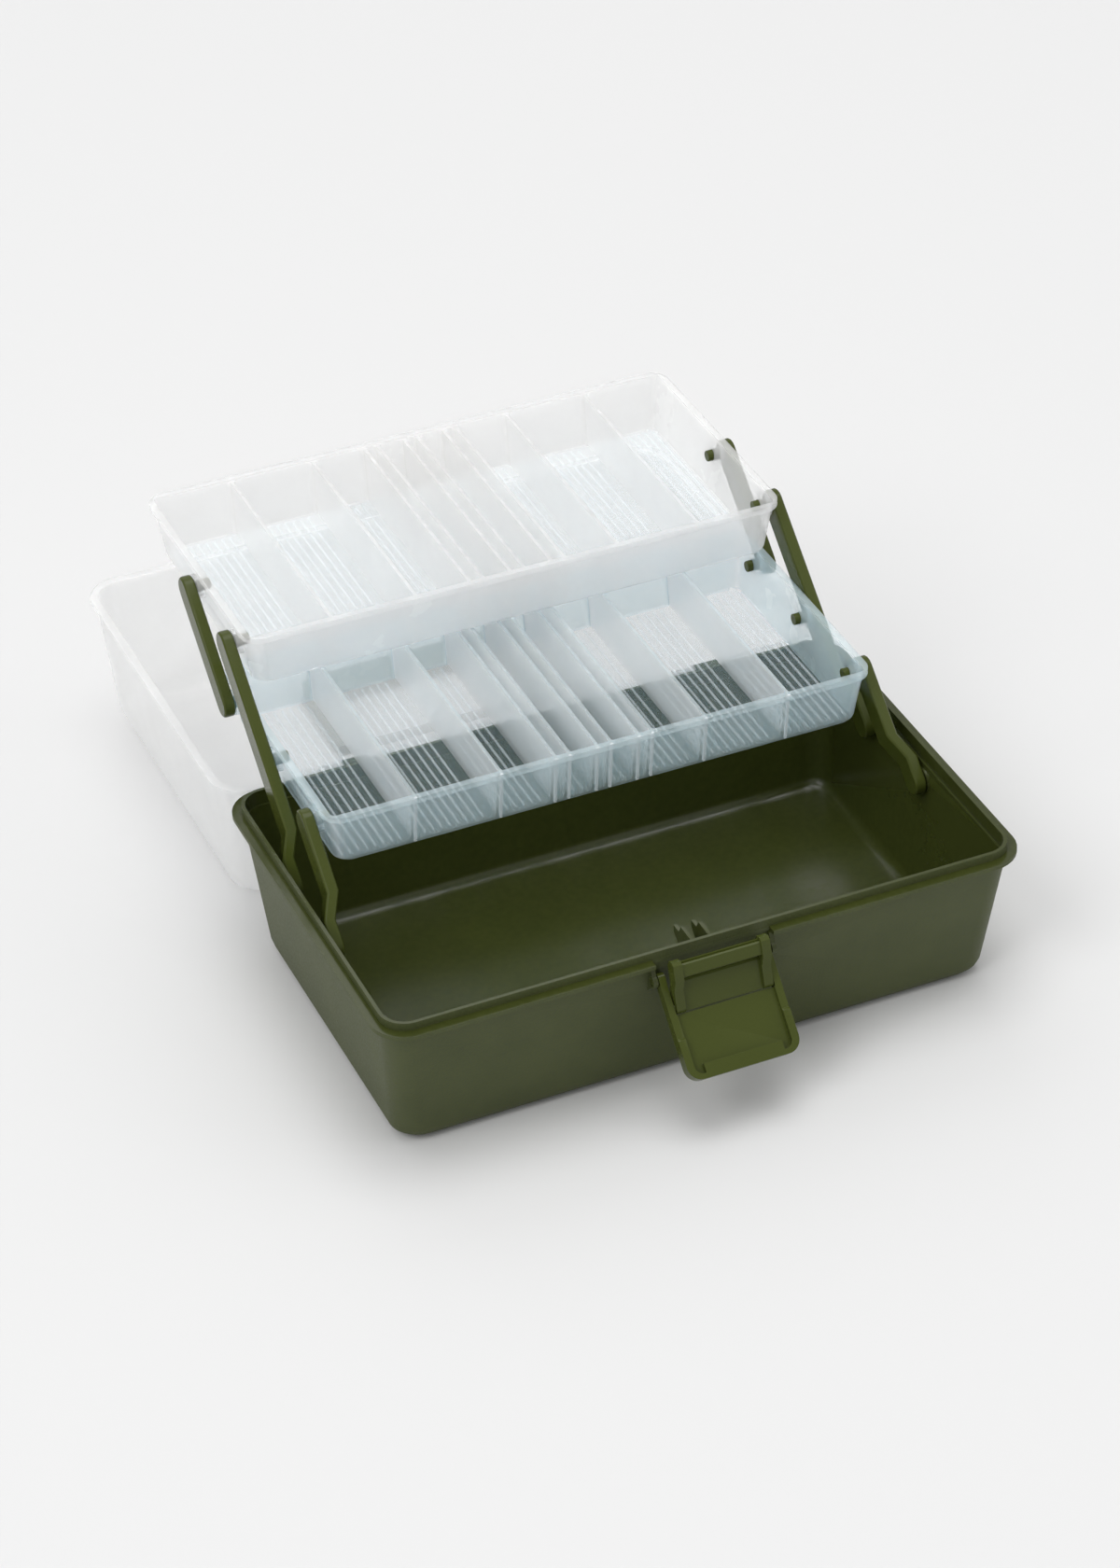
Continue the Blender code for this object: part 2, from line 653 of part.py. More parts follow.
def make_handle(material):
    """The folding carry handle: a U-shaped grip with an eye and a stub axle at each end."""
    bm = bmesh.new()
    points = [(x, HANDLE_PIVOT.y + y, HANDLE_BOTTOM) for x, y in handle_outline()]
    add_extrusion(bm, points, (0, 0, HANDLE_TOP - HANDLE_BOTTOM))
    ends_y = HANDLE_PIVOT.y - NEAR
    edges = [edge for edge in sharp_edges(bm) if max(v.co.y for v in edge.verts) < ends_y]
    round_edges(bm, edges, HANDLE_ROUNDING, 2)
    handle = add_object("carry_handle", mesh_from("carry_handle", bm), PARTS, material)
    eyes = bmesh.new()
    stubs = bmesh.new()
    eye_start = HANDLE_HALF_X - HANDLE_ARM + HANDLE_EYE_INSET
    eye_end = HANDLE_HALF_X - HANDLE_EYE_INSET
    stub_start = HANDLE_HALF_X - HANDLE_STUB_ROOT
    stub_end = HANDLE_HALF_X + POCKET_GAP + STUB_REACH
    for side in (-1, 1):
        add_pin(eyes, side * eye_start, side * eye_end, HANDLE_PIVOT.y, HANDLE_PIVOT.z, HANDLE_EYE_RADIUS)
        add_pin(stubs, side * stub_start, side * stub_end, HANDLE_PIVOT.y, HANDLE_PIVOT.z, STUB_RADIUS)
    shape(handle, "handle_eyes", eyes, "UNION")
    shape(handle, "handle_stubs", stubs, "UNION")
    smooth(handle)
    turned = HINGE + Matrix.Rotation(LID_OPEN_ANGLE, 3, "X") @ (HANDLE_PIVOT - HINGE)
    place(handle, turned, LID_OPEN_ANGLE, HANDLE_PIVOT)


def tray_section(z, inset, radius):
    """Section of a tray's drafted wall, with z measured from its rim."""
    taper = TRAY_RIM_WIDTH + TRAY_TAPER * -z / TRAY_HEIGHT + inset
    return (TRAY_HALF_X - taper, TRAY_HALF_Y - taper, radius, z)


def tray_compartments():
    """Centre and half width of each compartment, from the dividers' places."""
    wall = TRAY_HALF_X - TRAY_RIM_WIDTH - TRAY_WALL
    slot_walls = [c + side * (SLOT_HALF + DIVIDER / 2) for c in SLOT_CENTRES for side in (-1, 1)]
    lines = sorted([-d for d in WIDE_DIVIDERS] + slot_walls + list(WIDE_DIVIDERS))
    edges = [-wall - DIVIDER / 2] + lines + [wall + DIVIDER / 2]
    compartments = []
    for left, right in zip(edges, edges[1:]):
        compartments.append(((left + right) / 2, (right - left - DIVIDER) / 2))
    return compartments


def make_tray(name, joint, middle, pivots_y, material):
    """One frosted tray: a drafted block with a rim, hollowed into compartments, with a boss at each pivot.

    The tray's pivots lie at pivots_y from its middle pivot, and its origin is on the joint that carries it.
    """
    wall_radius = TRAY_RADIUS - TRAY_RIM_WIDTH
    sections = fillet_sections(
        lambda z, inset: tray_section(z, inset, wall_radius), TRAY_FILLET, -TRAY_HEIGHT, 1
    )
    sections += [
        tray_section(-TRAY_RIM_HEIGHT, 0.0, wall_radius),
        (TRAY_HALF_X, TRAY_HALF_Y, TRAY_RADIUS, -TRAY_RIM_HEIGHT),
        (TRAY_HALF_X, TRAY_HALF_Y, TRAY_RADIUS, 0.0),
    ]
    bm = bmesh.new()
    add_loft(bm, sections)
    tray = add_object(name, mesh_from(name, bm), PARTS, material)
    shape(tray, name + "_bosses", tray_bosses(pivots_y), "UNION")
    shape(tray, name + "_mouth", tray_mouth(), "DIFFERENCE")
    shape(tray, name + "_compartments", tray_hollows(), "DIFFERENCE")
    shape(tray, name + "_bores", tray_bores(pivots_y), "DIFFERENCE")
    smooth(tray)
    centre = middle + Vector((0, TRAY_SHIFT, PEG_DEPTH))
    place(tray, joint, 0.0, joint - centre)


def tray_bosses(pivots_y):
    """Round pads on the tray's ends, which the arms run against."""
    bm = bmesh.new()
    root = TRAY_HALF_X - TRAY_RIM_WIDTH - TRAY_BOSS_ROOT
    face = ARM_INNER_X - PIVOT_BOSS_GAP
    for side in (-1, 1):
        for y in pivots_y:
            add_pin(bm, side * root, side * face, y - TRAY_SHIFT, -PEG_DEPTH, TRAY_BOSS_RADIUS)
    return bm


def tray_mouth():
    """The shallow hollow over the dividers, which end below the rim."""
    bm = bmesh.new()
    half_x, half_y, _, _ = tray_section(0.0, TRAY_WALL, 0)
    radius = TRAY_RADIUS - TRAY_RIM_WIDTH - TRAY_WALL
    add_loft(bm, [(half_x, half_y, radius, -DIVIDER_DROP), (half_x, half_y, radius, CUT_MARGIN)])
    return bm


def tray_hollows():
    """The compartments. The end ones lean with the tray's end walls."""
    bm = bmesh.new()
    floor_z = TRAY_FLOOR - TRAY_HEIGHT
    top_z = CUT_MARGIN / 2
    top_y = TRAY_HALF_Y - TRAY_RIM_WIDTH - TRAY_WALL
    compartments = tray_compartments()
    for centre, half in compartments:
        at_end = (centre, half) in (compartments[0], compartments[-1])
        draft = TRAY_TAPER if at_end else 0.0
        shift = math.copysign(draft / 2, centre)
        radius = SLOT_RADIUS if half < COMPARTMENT_RADIUS + DIVIDER else COMPARTMENT_RADIUS
        low = (half - draft / 2, top_y - TRAY_TAPER, radius, floor_z, centre - shift)
        high = (half, top_y, radius, top_z, centre)
        add_skin(bm, [rounded_ring(bm, *section, COMPARTMENT_STEPS) for section in (low, high)])
    return bm


def tray_bores(pivots_y):
    """Holes for the arms' pegs, through the pads and the end walls."""
    bm = bmesh.new()
    start = TRAY_HALF_X - TRAY_RIM_WIDTH - TRAY_TAPER - TRAY_BOSS_ROOT
    end = ARM_INNER_X + CUT_MARGIN
    for side in (-1, 1):
        for y in pivots_y:
            add_pin(bm, side * start, side * end, y - TRAY_SHIFT, -PEG_DEPTH, PEG_RADIUS + PIN_GAP)
    return bm


def bar_outline(length):
    """Outline in the (y, z) plane of a bar with round ends, along +Y from its first pivot."""
    far = arc((length, 0.0), ARM_HALF_WIDTH, -90, 90)
    near = arc((0.0, 0.0), ARM_HALF_WIDTH, 90, 270)
    return far + near


def jog(bm):
    """Step the foot of an arm outwards, between two cuts across the bar."""
    for cut in (JOG_START, JOG_END):
        bmesh.ops.bisect_plane(
            bm, geom=bm.verts[:] + bm.edges[:] + bm.faces[:], plane_co=(0, cut, 0), plane_no=(0, 1, 0)
        )
    for vert in bm.verts:
        share = (JOG_END - vert.co.y) / (JOG_END - JOG_START)
        vert.co.x += ARM_JOG * min(max(share, 0.0), 1.0)


def make_arm(name, side, pivot, length, pegs, jogged, material):
    """One linkage arm: a flat bar with round ends, an outward jog at its foot, and a peg at each pivot.

    A peg is its distance along the arm, and whether it is the foot's, which points out into the base.
    """
    bm = bmesh.new()
    add_prism(bm, bar_outline(length), ARM_INNER_X, ARM_INNER_X + ARM_THICKNESS)
    if jogged:
        jog(bm)
    round_edges(bm, sharp_edges(bm), ARM_EDGE, 1)
    bmesh.ops.scale(bm, verts=bm.verts, vec=(side, 1, 1))
    arm = add_object(name, mesh_from(name, bm), PARTS, material)
    bm = bmesh.new()
    foot_face = ARM_INNER_X + ARM_JOG + ARM_THICKNESS
    for distance, is_foot in pegs:
        if is_foot:
            start, end = foot_face - PEG_ROOT, foot_face + BASE_PEG_REACH
        else:
            start, end = ARM_INNER_X + PEG_ROOT, ARM_INNER_X - PEG_REACH
        add_pin(bm, side * start, side * end, distance, 0.0, PEG_RADIUS)
    shape(arm, name + "_pegs", bm, "UNION")
    smooth(arm)
    place(arm, pivot, ARM_OPEN_ANGLE)


def make_arms(material):
    """Three arms at each end: short front, long middle and short rear."""
    for side, word in ((-1, "left"), (1, "right")):
        front = Vector((0, FRONT_PIVOT_Y, PIVOT_Z))
        middle = Vector((0, REAR_PIVOT_Y, PIVOT_Z))
        rear = LOWER_PIVOT + Vector((0, ARM_SPACING, 0))
        short = [(0.0, True), (ARM_LENGTH, False)]
        long = short + [(2 * ARM_LENGTH, False)]
        make_arm("front_arm_" + word, side, front, ARM_LENGTH, short, True, material)
        make_arm("long_arm_" + word, side, middle, 2 * ARM_LENGTH, long, True, material)
        rear_pegs = [(0.0, False), (ARM_LENGTH, False)]
        make_arm("rear_arm_" + word, side, rear, ARM_LENGTH, rear_pegs, False, material)


def lever_outline():
    """Side outline of the lever in the (y, z) plane: a round eye, a slim arm and a deeper rim below."""
    depth = LEVER_HALF_DEPTH
    arm_front = LEVER_STEP_DEPTH - depth
    foot = [(-depth, -LEVER_LENGTH), (depth, -LEVER_LENGTH)]
    eye = arc((0.0, 0.0), depth, 0, 180)
    front = [(arm_front, -LEVER_NECK), (arm_front, -LEVER_STEP_HIGH), (-depth, -LEVER_STEP_LOW)]
    return foot + eye + front


def recess_outline():
    """The lever's front recess in the (x, z) plane, with round lower corners beside a raised ledge."""
    foot = RECESS_FOOT - LEVER_LENGTH
    corner = (RECESS_HALF_X - RECESS_CORNER, foot + RECESS_CORNER)
    right = [(RECESS_HALF_X, CUT_MARGIN - PLATE_TOP)]
    right += arc(corner, RECESS_CORNER, 0, -90)
    right += [(LEDGE_HALF_X, foot), (LEDGE_HALF_X, LEDGE_TOP - LEVER_LENGTH)]
    return right + mirrored(right)


def lever_cuts():
    """Hollows of the lever: the window between its arms, the recess in front, and the hollow back."""
    beyond = LEVER_HALF_DEPTH + CUT_MARGIN
    window = bmesh.new()
    add_box(window, (-LEVER_INNER_X, -beyond, -PLATE_TOP), (LEVER_INNER_X, beyond, beyond))
    recess = bmesh.new()
    add_extrusion(recess, [(x, -beyond, z) for x, z in recess_outline()], (0, beyond + PLATE_FRONT, 0))
    back = bmesh.new()
    back_foot = BACK_HOLLOW_FOOT - LEVER_LENGTH
    add_box(
        back,
        (-BACK_HOLLOW_HALF_X, PLATE_BACK, back_foot),
        (BACK_HOLLOW_HALF_X, beyond, CUT_MARGIN - PLATE_TOP),
    )
    return {"lever_window": window, "lever_recess": recess, "lever_back": back}


def foot_corners(bm):
    """The two edges across the lever's foot, at its lower corners."""
    corners = []
    for edge in bm.edges:
        a, b = (vert.co for vert in edge.verts)
        at_foot = max(a.z, b.z) < NEAR - LEVER_LENGTH
        if at_foot and abs(a.x - b.x) < NEAR:
            corners.append(edge)
    return corners


def make_lever(material):
    """The latch lever, modelled hanging straight down: two arms, a recessed plate and a ledge."""
    bm = bmesh.new()
    add_prism(bm, lever_outline(), -LEVER_HALF_X, LEVER_HALF_X)
    round_edges(bm, foot_corners(bm), LEVER_CORNER, CORNER_STEPS)
    lever = add_object("latch_lever", mesh_from("latch_lever", bm), PARTS, material)
    for name, cutter in lever_cuts().items():
        shape(lever, name, cutter, "DIFFERENCE")
    stubs = bmesh.new()
    bores = bmesh.new()
    for side in (-1, 1):
        stub_start = side * (LEVER_HALF_X - STUB_ROOT)
        stub_end = side * (LEVER_HALF_X + STUB_REACH)
        bore_start = side * (LEVER_INNER_X - CUT_MARGIN)
        bore_end = side * (LEVER_INNER_X + HOOK_BORE_DEPTH)
        add_pin(stubs, stub_start, stub_end, 0.0, 0.0, STUB_RADIUS)
        add_pin(bores, bore_start, bore_end, 0.0, -HOOK_ARM, HOOK_STUB_RADIUS + PIN_GAP)
    shape(lever, "lever_stubs", stubs, "UNION")
    shape(lever, "lever_bores", bores, "DIFFERENCE")
    smooth(lever)
    place(lever, LEVER_PIVOT, LEVER_OPEN_ANGLE)


def make_hook(material):
    """The hook frame, modelled standing straight up: two cheeks, a web and a grooved hook bar."""
    cheek_inner = HOOK_HALF_X - HOOK_CHEEK
    overlap_x = cheek_inner + HOOK_OVERLAP
    bm = bmesh.new()
    for side in (-1, 1):
        outline = arc(CHEEK_FOOT, CHEEK_FOOT_RADIUS, 180, 360) + CHEEK_OUTLINE
        add_prism(bm, outline, side * cheek_inner, side * HOOK_HALF_X)
    hook = add_object("latch_hook", mesh_from("latch_hook", bm), PARTS, material)
    for name, outline in (("hook_web", WEB_OUTLINE), ("hook_bar", BAR_OUTLINE)):
        bm = bmesh.new()
        add_prism(bm, outline, -overlap_x, overlap_x)
        shape(hook, name, bm, "UNION")
    bm = bmesh.new()
    for side in (-1, 1):
        start = side * (HOOK_HALF_X - HOOK_STUB_ROOT)
        end = side * (HOOK_HALF_X + HOOK_STUB_REACH)
        add_pin(bm, start, end, 0.0, 0.0, HOOK_STUB_RADIUS)
    shape(hook, "hook_stubs", bm, "UNION")
    smooth(hook)
    place(hook, HOOK_PIVOT, HOOK_OPEN_ANGLE)


def make_hinge_pins(material):
    """A plain pin through each hinge's three knuckles."""
    half = 1.5 * KNUCKLE_LENGTH
    for side, word in ((-1, "left"), (1, "right")):
        name = "hinge_pin_" + word
        bm = bmesh.new()
        add_pin(bm, side * HINGE_X - half, side * HINGE_X + half, 0.0, 0.0, HINGE_PIN_RADIUS)
        pin = add_object(name, mesh_from(name, bm), PARTS, material)
        smooth(pin)
        place(pin, HINGE)


clear_scene()
PARTS = new_collection("tackle_box")
CUTTERS = new_collection("cutters")
OLIVE = plastic("olive_plastic", (0.052, 0.065, 0.019), 0.38)
CLEAR = plastic("frosted_plastic", (0.86, 0.89, 0.90), 0.30, 0.7)
STEEL = plastic("pin_steel", (0.55, 0.55, 0.54), 0.30)
STEEL.node_tree.nodes["Principled BSDF"].inputs["Metallic"].default_value = 1.0

make_base(OLIVE)
make_lid(CLEAR)
make_handle(OLIVE)
make_tray("lower_tray", LOWER_PIVOT, LOWER_PIVOT, (-ARM_SPACING, 0.0, ARM_SPACING), CLEAR)
make_tray("upper_tray", UPPER_PIVOT, UPPER_PIVOT + Vector((0, ARM_SPACING, 0)), (-ARM_SPACING, 0.0), CLEAR)
make_arms(OLIVE)
make_lever(OLIVE)
make_hook(OLIVE)
make_hinge_pins(STEEL)
bpy.context.view_layer.update()
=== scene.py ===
"""Looks of the two-tray tackle box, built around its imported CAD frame."""

import json
import math

import bmesh
import bpy
from mathutils import Matrix, Vector

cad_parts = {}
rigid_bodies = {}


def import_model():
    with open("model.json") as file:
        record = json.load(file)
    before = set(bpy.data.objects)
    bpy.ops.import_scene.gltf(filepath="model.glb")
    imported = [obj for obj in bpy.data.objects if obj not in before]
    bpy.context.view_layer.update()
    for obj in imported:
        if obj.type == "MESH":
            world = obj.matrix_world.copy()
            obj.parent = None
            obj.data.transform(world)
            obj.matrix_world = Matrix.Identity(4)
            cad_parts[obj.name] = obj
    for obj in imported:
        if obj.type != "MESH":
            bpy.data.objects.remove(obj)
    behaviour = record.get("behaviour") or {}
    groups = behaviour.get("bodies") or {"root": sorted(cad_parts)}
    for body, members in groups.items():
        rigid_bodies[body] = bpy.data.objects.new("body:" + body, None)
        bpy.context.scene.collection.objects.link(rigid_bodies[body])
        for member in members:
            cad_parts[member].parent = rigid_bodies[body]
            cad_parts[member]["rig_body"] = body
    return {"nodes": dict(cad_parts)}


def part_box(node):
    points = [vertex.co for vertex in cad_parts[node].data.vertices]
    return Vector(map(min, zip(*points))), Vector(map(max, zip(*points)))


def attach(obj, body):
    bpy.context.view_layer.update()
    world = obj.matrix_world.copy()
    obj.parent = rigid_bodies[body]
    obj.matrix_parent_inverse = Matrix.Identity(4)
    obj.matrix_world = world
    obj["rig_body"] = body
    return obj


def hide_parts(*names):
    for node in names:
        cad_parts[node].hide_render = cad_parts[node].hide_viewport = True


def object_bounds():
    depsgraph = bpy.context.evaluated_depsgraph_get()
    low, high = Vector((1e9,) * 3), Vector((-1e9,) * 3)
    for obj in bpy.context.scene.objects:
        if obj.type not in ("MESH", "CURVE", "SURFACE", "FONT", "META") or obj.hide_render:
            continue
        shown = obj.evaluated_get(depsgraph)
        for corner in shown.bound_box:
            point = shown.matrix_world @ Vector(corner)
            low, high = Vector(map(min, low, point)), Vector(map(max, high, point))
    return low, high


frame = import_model()
CAD_LOW, CAD_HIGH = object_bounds()
NODES = frame["nodes"]

MM = 0.001

# Camera, as a direction round the box and a point that it looks at.
CAMERA_AZIMUTH = math.radians(-22.664)
CAMERA_ELEVATION = math.radians(35.463)
CAMERA_ROLL = math.radians(-1.861)
CAMERA_DISTANCE = 2.1152
CAMERA_TARGET = Vector((-0.03082, 0.0, 0.11287))
CAMERA_LENS = 102.85
CAMERA_SENSOR = 36.0
CAMERA_CLIP = (0.05, 50.0)

# Stage. Each light is its name, place, size and power. They all point at the box.
BACKDROP = 0.70
STAGE_HALF = 6.0
STAGE_DROP = 0.1 * MM
WORLD_STRENGTH = 0.56
LIGHT_AIM = Vector((0.0, 0.08, 0.05))
LIGHTS = (
    ("key", (-4.0, -1.6, 4.6), 3.0, 125.0),
    ("top", (0.3, 0.3, 6.0), 4.0, 155.0),
    ("fill", (4.0, -1.5, 3.8), 4.5, 36.0),
    ("rim", (0.5, 4.8, 4.3), 4.0, 46.0),
)
# A ray can cross both trays and the lid, so it needs many transparent steps.
TRANSPARENT_STEPS = 48

# How far sharp edges are rounded.
TUB_EDGE = 0.5 * MM
TRAY_EDGE = 0.3 * MM
ARM_EDGE = 0.7 * MM
LATCH_EDGE = 0.45 * MM
HANDLE_EDGE = 0.8 * MM
LID_EDGE = 0.5 * MM
PIN_EDGE = 0.2 * MM
SHARP_ANGLE = math.radians(32)

# For tidying the CAD's triangles into whole faces, and for telling which way a face looks.
WELD = 0.002 * MM
FLAT_ANGLE = math.radians(0.5)
FACE_MARGIN = 0.2 * MM
FACING = 0.9
UPWARD = 0.3

# Materials. Noise scales are in features per metre, and nearly all of a noise lies within its range.
NOISE_RANGE = (0.3, 0.7)
PLASTIC_IOR = 1.49
MOTTLE_SCALE = 38.0
MOTTLE_SHARE = 0.4
GRAIN_STRENGTH = 0.5
CLOUD_SCALE = 26.0
CLOUD_SHADE = 0.985
CLOUD_FILM = 0.03
CLOUD_ROUGH = 0.04
# How far light spreads inside the frosted plastic.
SCATTER_LENGTH = 8.0 * MM

# Tray floor. Each pair of compartments is its middle's distance from the centre line, and its rib count.
FLOOR_THICKNESS = 1.6 * MM
RIB_END_GAP = 10.5 * MM
RIB_HALF = 0.6 * MM
RIB_HEIGHT = 0.6 * MM
RIB_STEPS = 8
RIB_ENDS = ((0.0, 0.15), (0.7 * MM, 0.8), (1.6 * MM, 1.0))
RIB_PITCH = 4.25 * MM
RIB_ROOT = 0.4 * MM
COMPARTMENT_RIBS = ((118.0 * MM, 8), (75.5 * MM, 8), (39.35 * MM, 5), (10.8 * MM, 2))

# Dividers, as distances from the centre line. The plastic is thick, and so milkier, where one meets a wall.
DIVIDERS_X = (97.5 * MM, 53.5 * MM, 25.2 * MM, 18.0 * MM, 3.6 * MM)
SEAM_HALF = 0.65 * MM
SEAM_DEPTH = 1.2 * MM
SEAM_SKIN = 0.35 * MM
SEAM_TOP_DROP = 1.4 * MM
SEAM_FOOT_RISE = 1.8 * MM
DIVIDER_MARGIN = 2.0 * MM
TRAY_RIM_WIDTH = 1.7 * MM
TRAY_TAPER = 3.6 * MM


def node_tree(name):
    """A new material, its node tree and its Principled shader."""
    material = bpy.data.materials.new(name)
    material.use_nodes = True
    tree = material.node_tree
    return material, tree, tree.nodes["Principled BSDF"]


def add_noise(tree, scale, detail=3.0, roughness=0.5):
    """A noise texture in object space."""
    coordinates = tree.nodes.new("ShaderNodeTexCoord")
    noise = tree.nodes.new("ShaderNodeTexNoise")
    noise.inputs["Scale"].default_value = scale
    noise.inputs["Detail"].default_value = detail
    noise.inputs["Roughness"].default_value = roughness
    tree.links.new(coordinates.outputs["Object"], noise.inputs["Vector"])
    return noise


def add_range(tree, source, low, high):
    """Map a noise's range onto low to high."""
    node = tree.nodes.new("ShaderNodeMapRange")
    node.inputs["From Min"].default_value = NOISE_RANGE[0]
    node.inputs["From Max"].default_value = NOISE_RANGE[1]
    node.inputs["To Min"].default_value = low
    node.inputs["To Max"].default_value = high
    tree.links.new(source, node.inputs["Value"])
    return node.outputs["Result"]


def add_bump(tree, shader, source, depth):
    """Raise the surface by a noise, to a depth in metres."""
    bump = tree.nodes.new("ShaderNodeBump")
    bump.inputs["Strength"].default_value = GRAIN_STRENGTH
    bump.inputs["Distance"].default_value = depth
    tree.links.new(source, bump.inputs["Height"])
    tree.links.new(bump.outputs["Normal"], shader.inputs["Normal"])


def tint(tree, shader, source, dark, light):
    """Vary the base colour between two shades."""
    mix = tree.nodes.new("ShaderNodeMix")
    mix.data_type = "RGBA"
    mix.inputs["A"].default_value = (*dark, 1.0)
    mix.inputs["B"].default_value = (*light, 1.0)
    tree.links.new(source, mix.inputs["Factor"])
    tree.links.new(mix.outputs["Result"], shader.inputs["Base Color"])


def olive_plastic(name, shades, rough, grain_scale, grain_depth, gloss=0.5):
    """Opaque moulded plastic with soft mottling and a moulded grain.

    shades are its darkest and lightest colour, rough is its range of roughness, and gloss is how strongly it
    reflects.
    """
    material, tree, shader = node_tree(name)
    mottle = add_noise(tree, MOTTLE_SCALE)
    grain = add_noise(tree, grain_scale, detail=2.0)
    mixed = tree.nodes.new("ShaderNodeMath")
    tree.links.new(add_range(tree, mottle.outputs["Fac"], 0.0, MOTTLE_SHARE), mixed.inputs[0])
    tree.links.new(add_range(tree, grain.outputs["Fac"], 0.0, 1.0 - MOTTLE_SHARE), mixed.inputs[1])
    tint(tree, shader, mixed.outputs["Value"], *shades)
    tree.links.new(add_range(tree, grain.outputs["Fac"], *rough), shader.inputs["Roughness"])
    add_bump(tree, shader, grain.outputs["Fac"], grain_depth)
    shader.inputs["Specular IOR Level"].default_value = gloss
    shader.inputs["IOR"].default_value = PLASTIC_IOR
    return material


def frosted_plastic(name, color, rough, film, milk=1.0, gloss=0.5):
    """Milky see-through plastic.

    film is how much of the light each surface scatters, milk is how much light spreads inside the wall, and
    gloss is how strongly it reflects.
    """
    material, tree, shader = node_tree(name)
    cloud = add_noise(tree, CLOUD_SCALE, detail=4.0).outputs["Fac"]
    darker = tuple(c * CLOUD_SHADE for c in color)
    tint(tree, shader, add_range(tree, cloud, 0.0, 1.0), darker, color)
    alpha = add_range(tree, cloud, film * (1.0 - CLOUD_FILM), film * (1.0 + CLOUD_FILM))
    tree.links.new(alpha, shader.inputs["Alpha"])
    tree.links.new(add_range(tree, cloud, rough, rough + CLOUD_ROUGH), shader.inputs["Roughness"])
    shader.inputs["Specular IOR Level"].default_value = gloss
    shader.inputs["Subsurface Weight"].default_value = milk
    shader.inputs["Subsurface Radius"].default_value = (1.0, 1.0, 1.0)
    shader.inputs["Subsurface Scale"].default_value = SCATTER_LENGTH
    shader.inputs["IOR"].default_value = PLASTIC_IOR
    return material


def pin_steel():
    """Drawn steel wire, with slightly uneven gloss."""
    material, tree, shader = node_tree("pin_steel")
    lines = add_noise(tree, 700.0, detail=1.0)
    tree.links.new(add_range(tree, lines.outputs["Fac"], 0.22, 0.38), shader.inputs["Roughness"])
    shader.inputs["Base Color"].default_value = (0.55, 0.55, 0.54, 1.0)
    shader.inputs["Metallic"].default_value = 1.0
    return material


def clean_copy(node):
    """The CAD node's shape as a bmesh of whole flat faces."""
    bm = bmesh.new()
    bm.from_mesh(NODES[node].data)
    bmesh.ops.remove_doubles(bm, verts=bm.verts, dist=WELD)
    bmesh.ops.dissolve_limit(
        bm, angle_limit=FLAT_ANGLE, verts=bm.verts, edges=bm.edges, use_dissolve_boundaries=False
    )
    return bm


def add_piece(name, bm, materials, slot, body, *nodes):
    """Make a bmesh into a piece that rides on a body and stands for its CAD nodes."""
    mesh = bpy.data.meshes.new(name)
    bm.to_mesh(mesh)
    bm.free()
    for material in materials:
        mesh.materials.append(material)
    mesh.shade_smooth()
    mesh.set_sharp_from_angle(angle=SHARP_ANGLE)
    piece = bpy.data.objects.new(name, mesh)
    bpy.context.scene.collection.objects.link(piece)
    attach(piece, body)
    if nodes:
        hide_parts(*nodes)
    return piece


def soften(piece, width, segments=3):
    """Round a piece's sharp edges, as moulding leaves them."""
    bevel = piece.modifiers.new("soft_edges", "BEVEL")
    bevel.width = width
    bevel.segments = segments
    bevel.limit_method = "ANGLE"
    bevel.angle_limit = SHARP_ANGLE
    bevel.use_clamp_overlap = True
    bevel.harden_normals = True
    bevel.miter_outer = "MITER_ARC"
    return piece


def body_of(node):
    """The name of the body that a CAD node moves with."""
    return NODES[node]["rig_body"]


def moulded(node, material, slot, edge):
    """A CAD node's moulded piece, with softened edges."""
    piece = add_piece(node + "_moulded", clean_copy(node), [material], slot, body_of(node), node)
    return soften(piece, edge)


def add_camera():
    """The camera, turned about its own axis by the roll."""
    cos_e = math.cos(CAMERA_ELEVATION)
    back = Vector(
        (
            math.sin(CAMERA_AZIMUTH) * cos_e,
            -math.cos(CAMERA_AZIMUTH) * cos_e,
            math.sin(CAMERA_ELEVATION),
        )
    )
    right = Vector((0, 0, 1)).cross(back).normalized()
    up = back.cross(right)
    axes = Matrix((right, up, back)).transposed()
    data = bpy.data.cameras.new("camera")
    data.lens = CAMERA_LENS
    data.sensor_width = CAMERA_SENSOR
    data.clip_start, data.clip_end = CAMERA_CLIP
    camera = bpy.data.objects.new("camera", data)
    bpy.context.scene.collection.objects.link(camera)
    turn = Matrix.Rotation(CAMERA_ROLL, 3, "Z")
    place = Matrix.Translation(CAMERA_TARGET + back * CAMERA_DISTANCE)
    camera.matrix_world = place @ (axes @ turn).to_4x4()
    bpy.context.scene.camera = camera


def add_area(name, place, size, power):
    """A square light that points at the box."""
    data = bpy.data.lights.new(name, "AREA")
    data.size = size
    data.energy = power
    light = bpy.data.objects.new(name, data)
    bpy.context.scene.collection.objects.link(light)
    light.location = place
    light.rotation_euler = (LIGHT_AIM - Vector(place)).to_track_quat("-Z", "Y").to_euler()


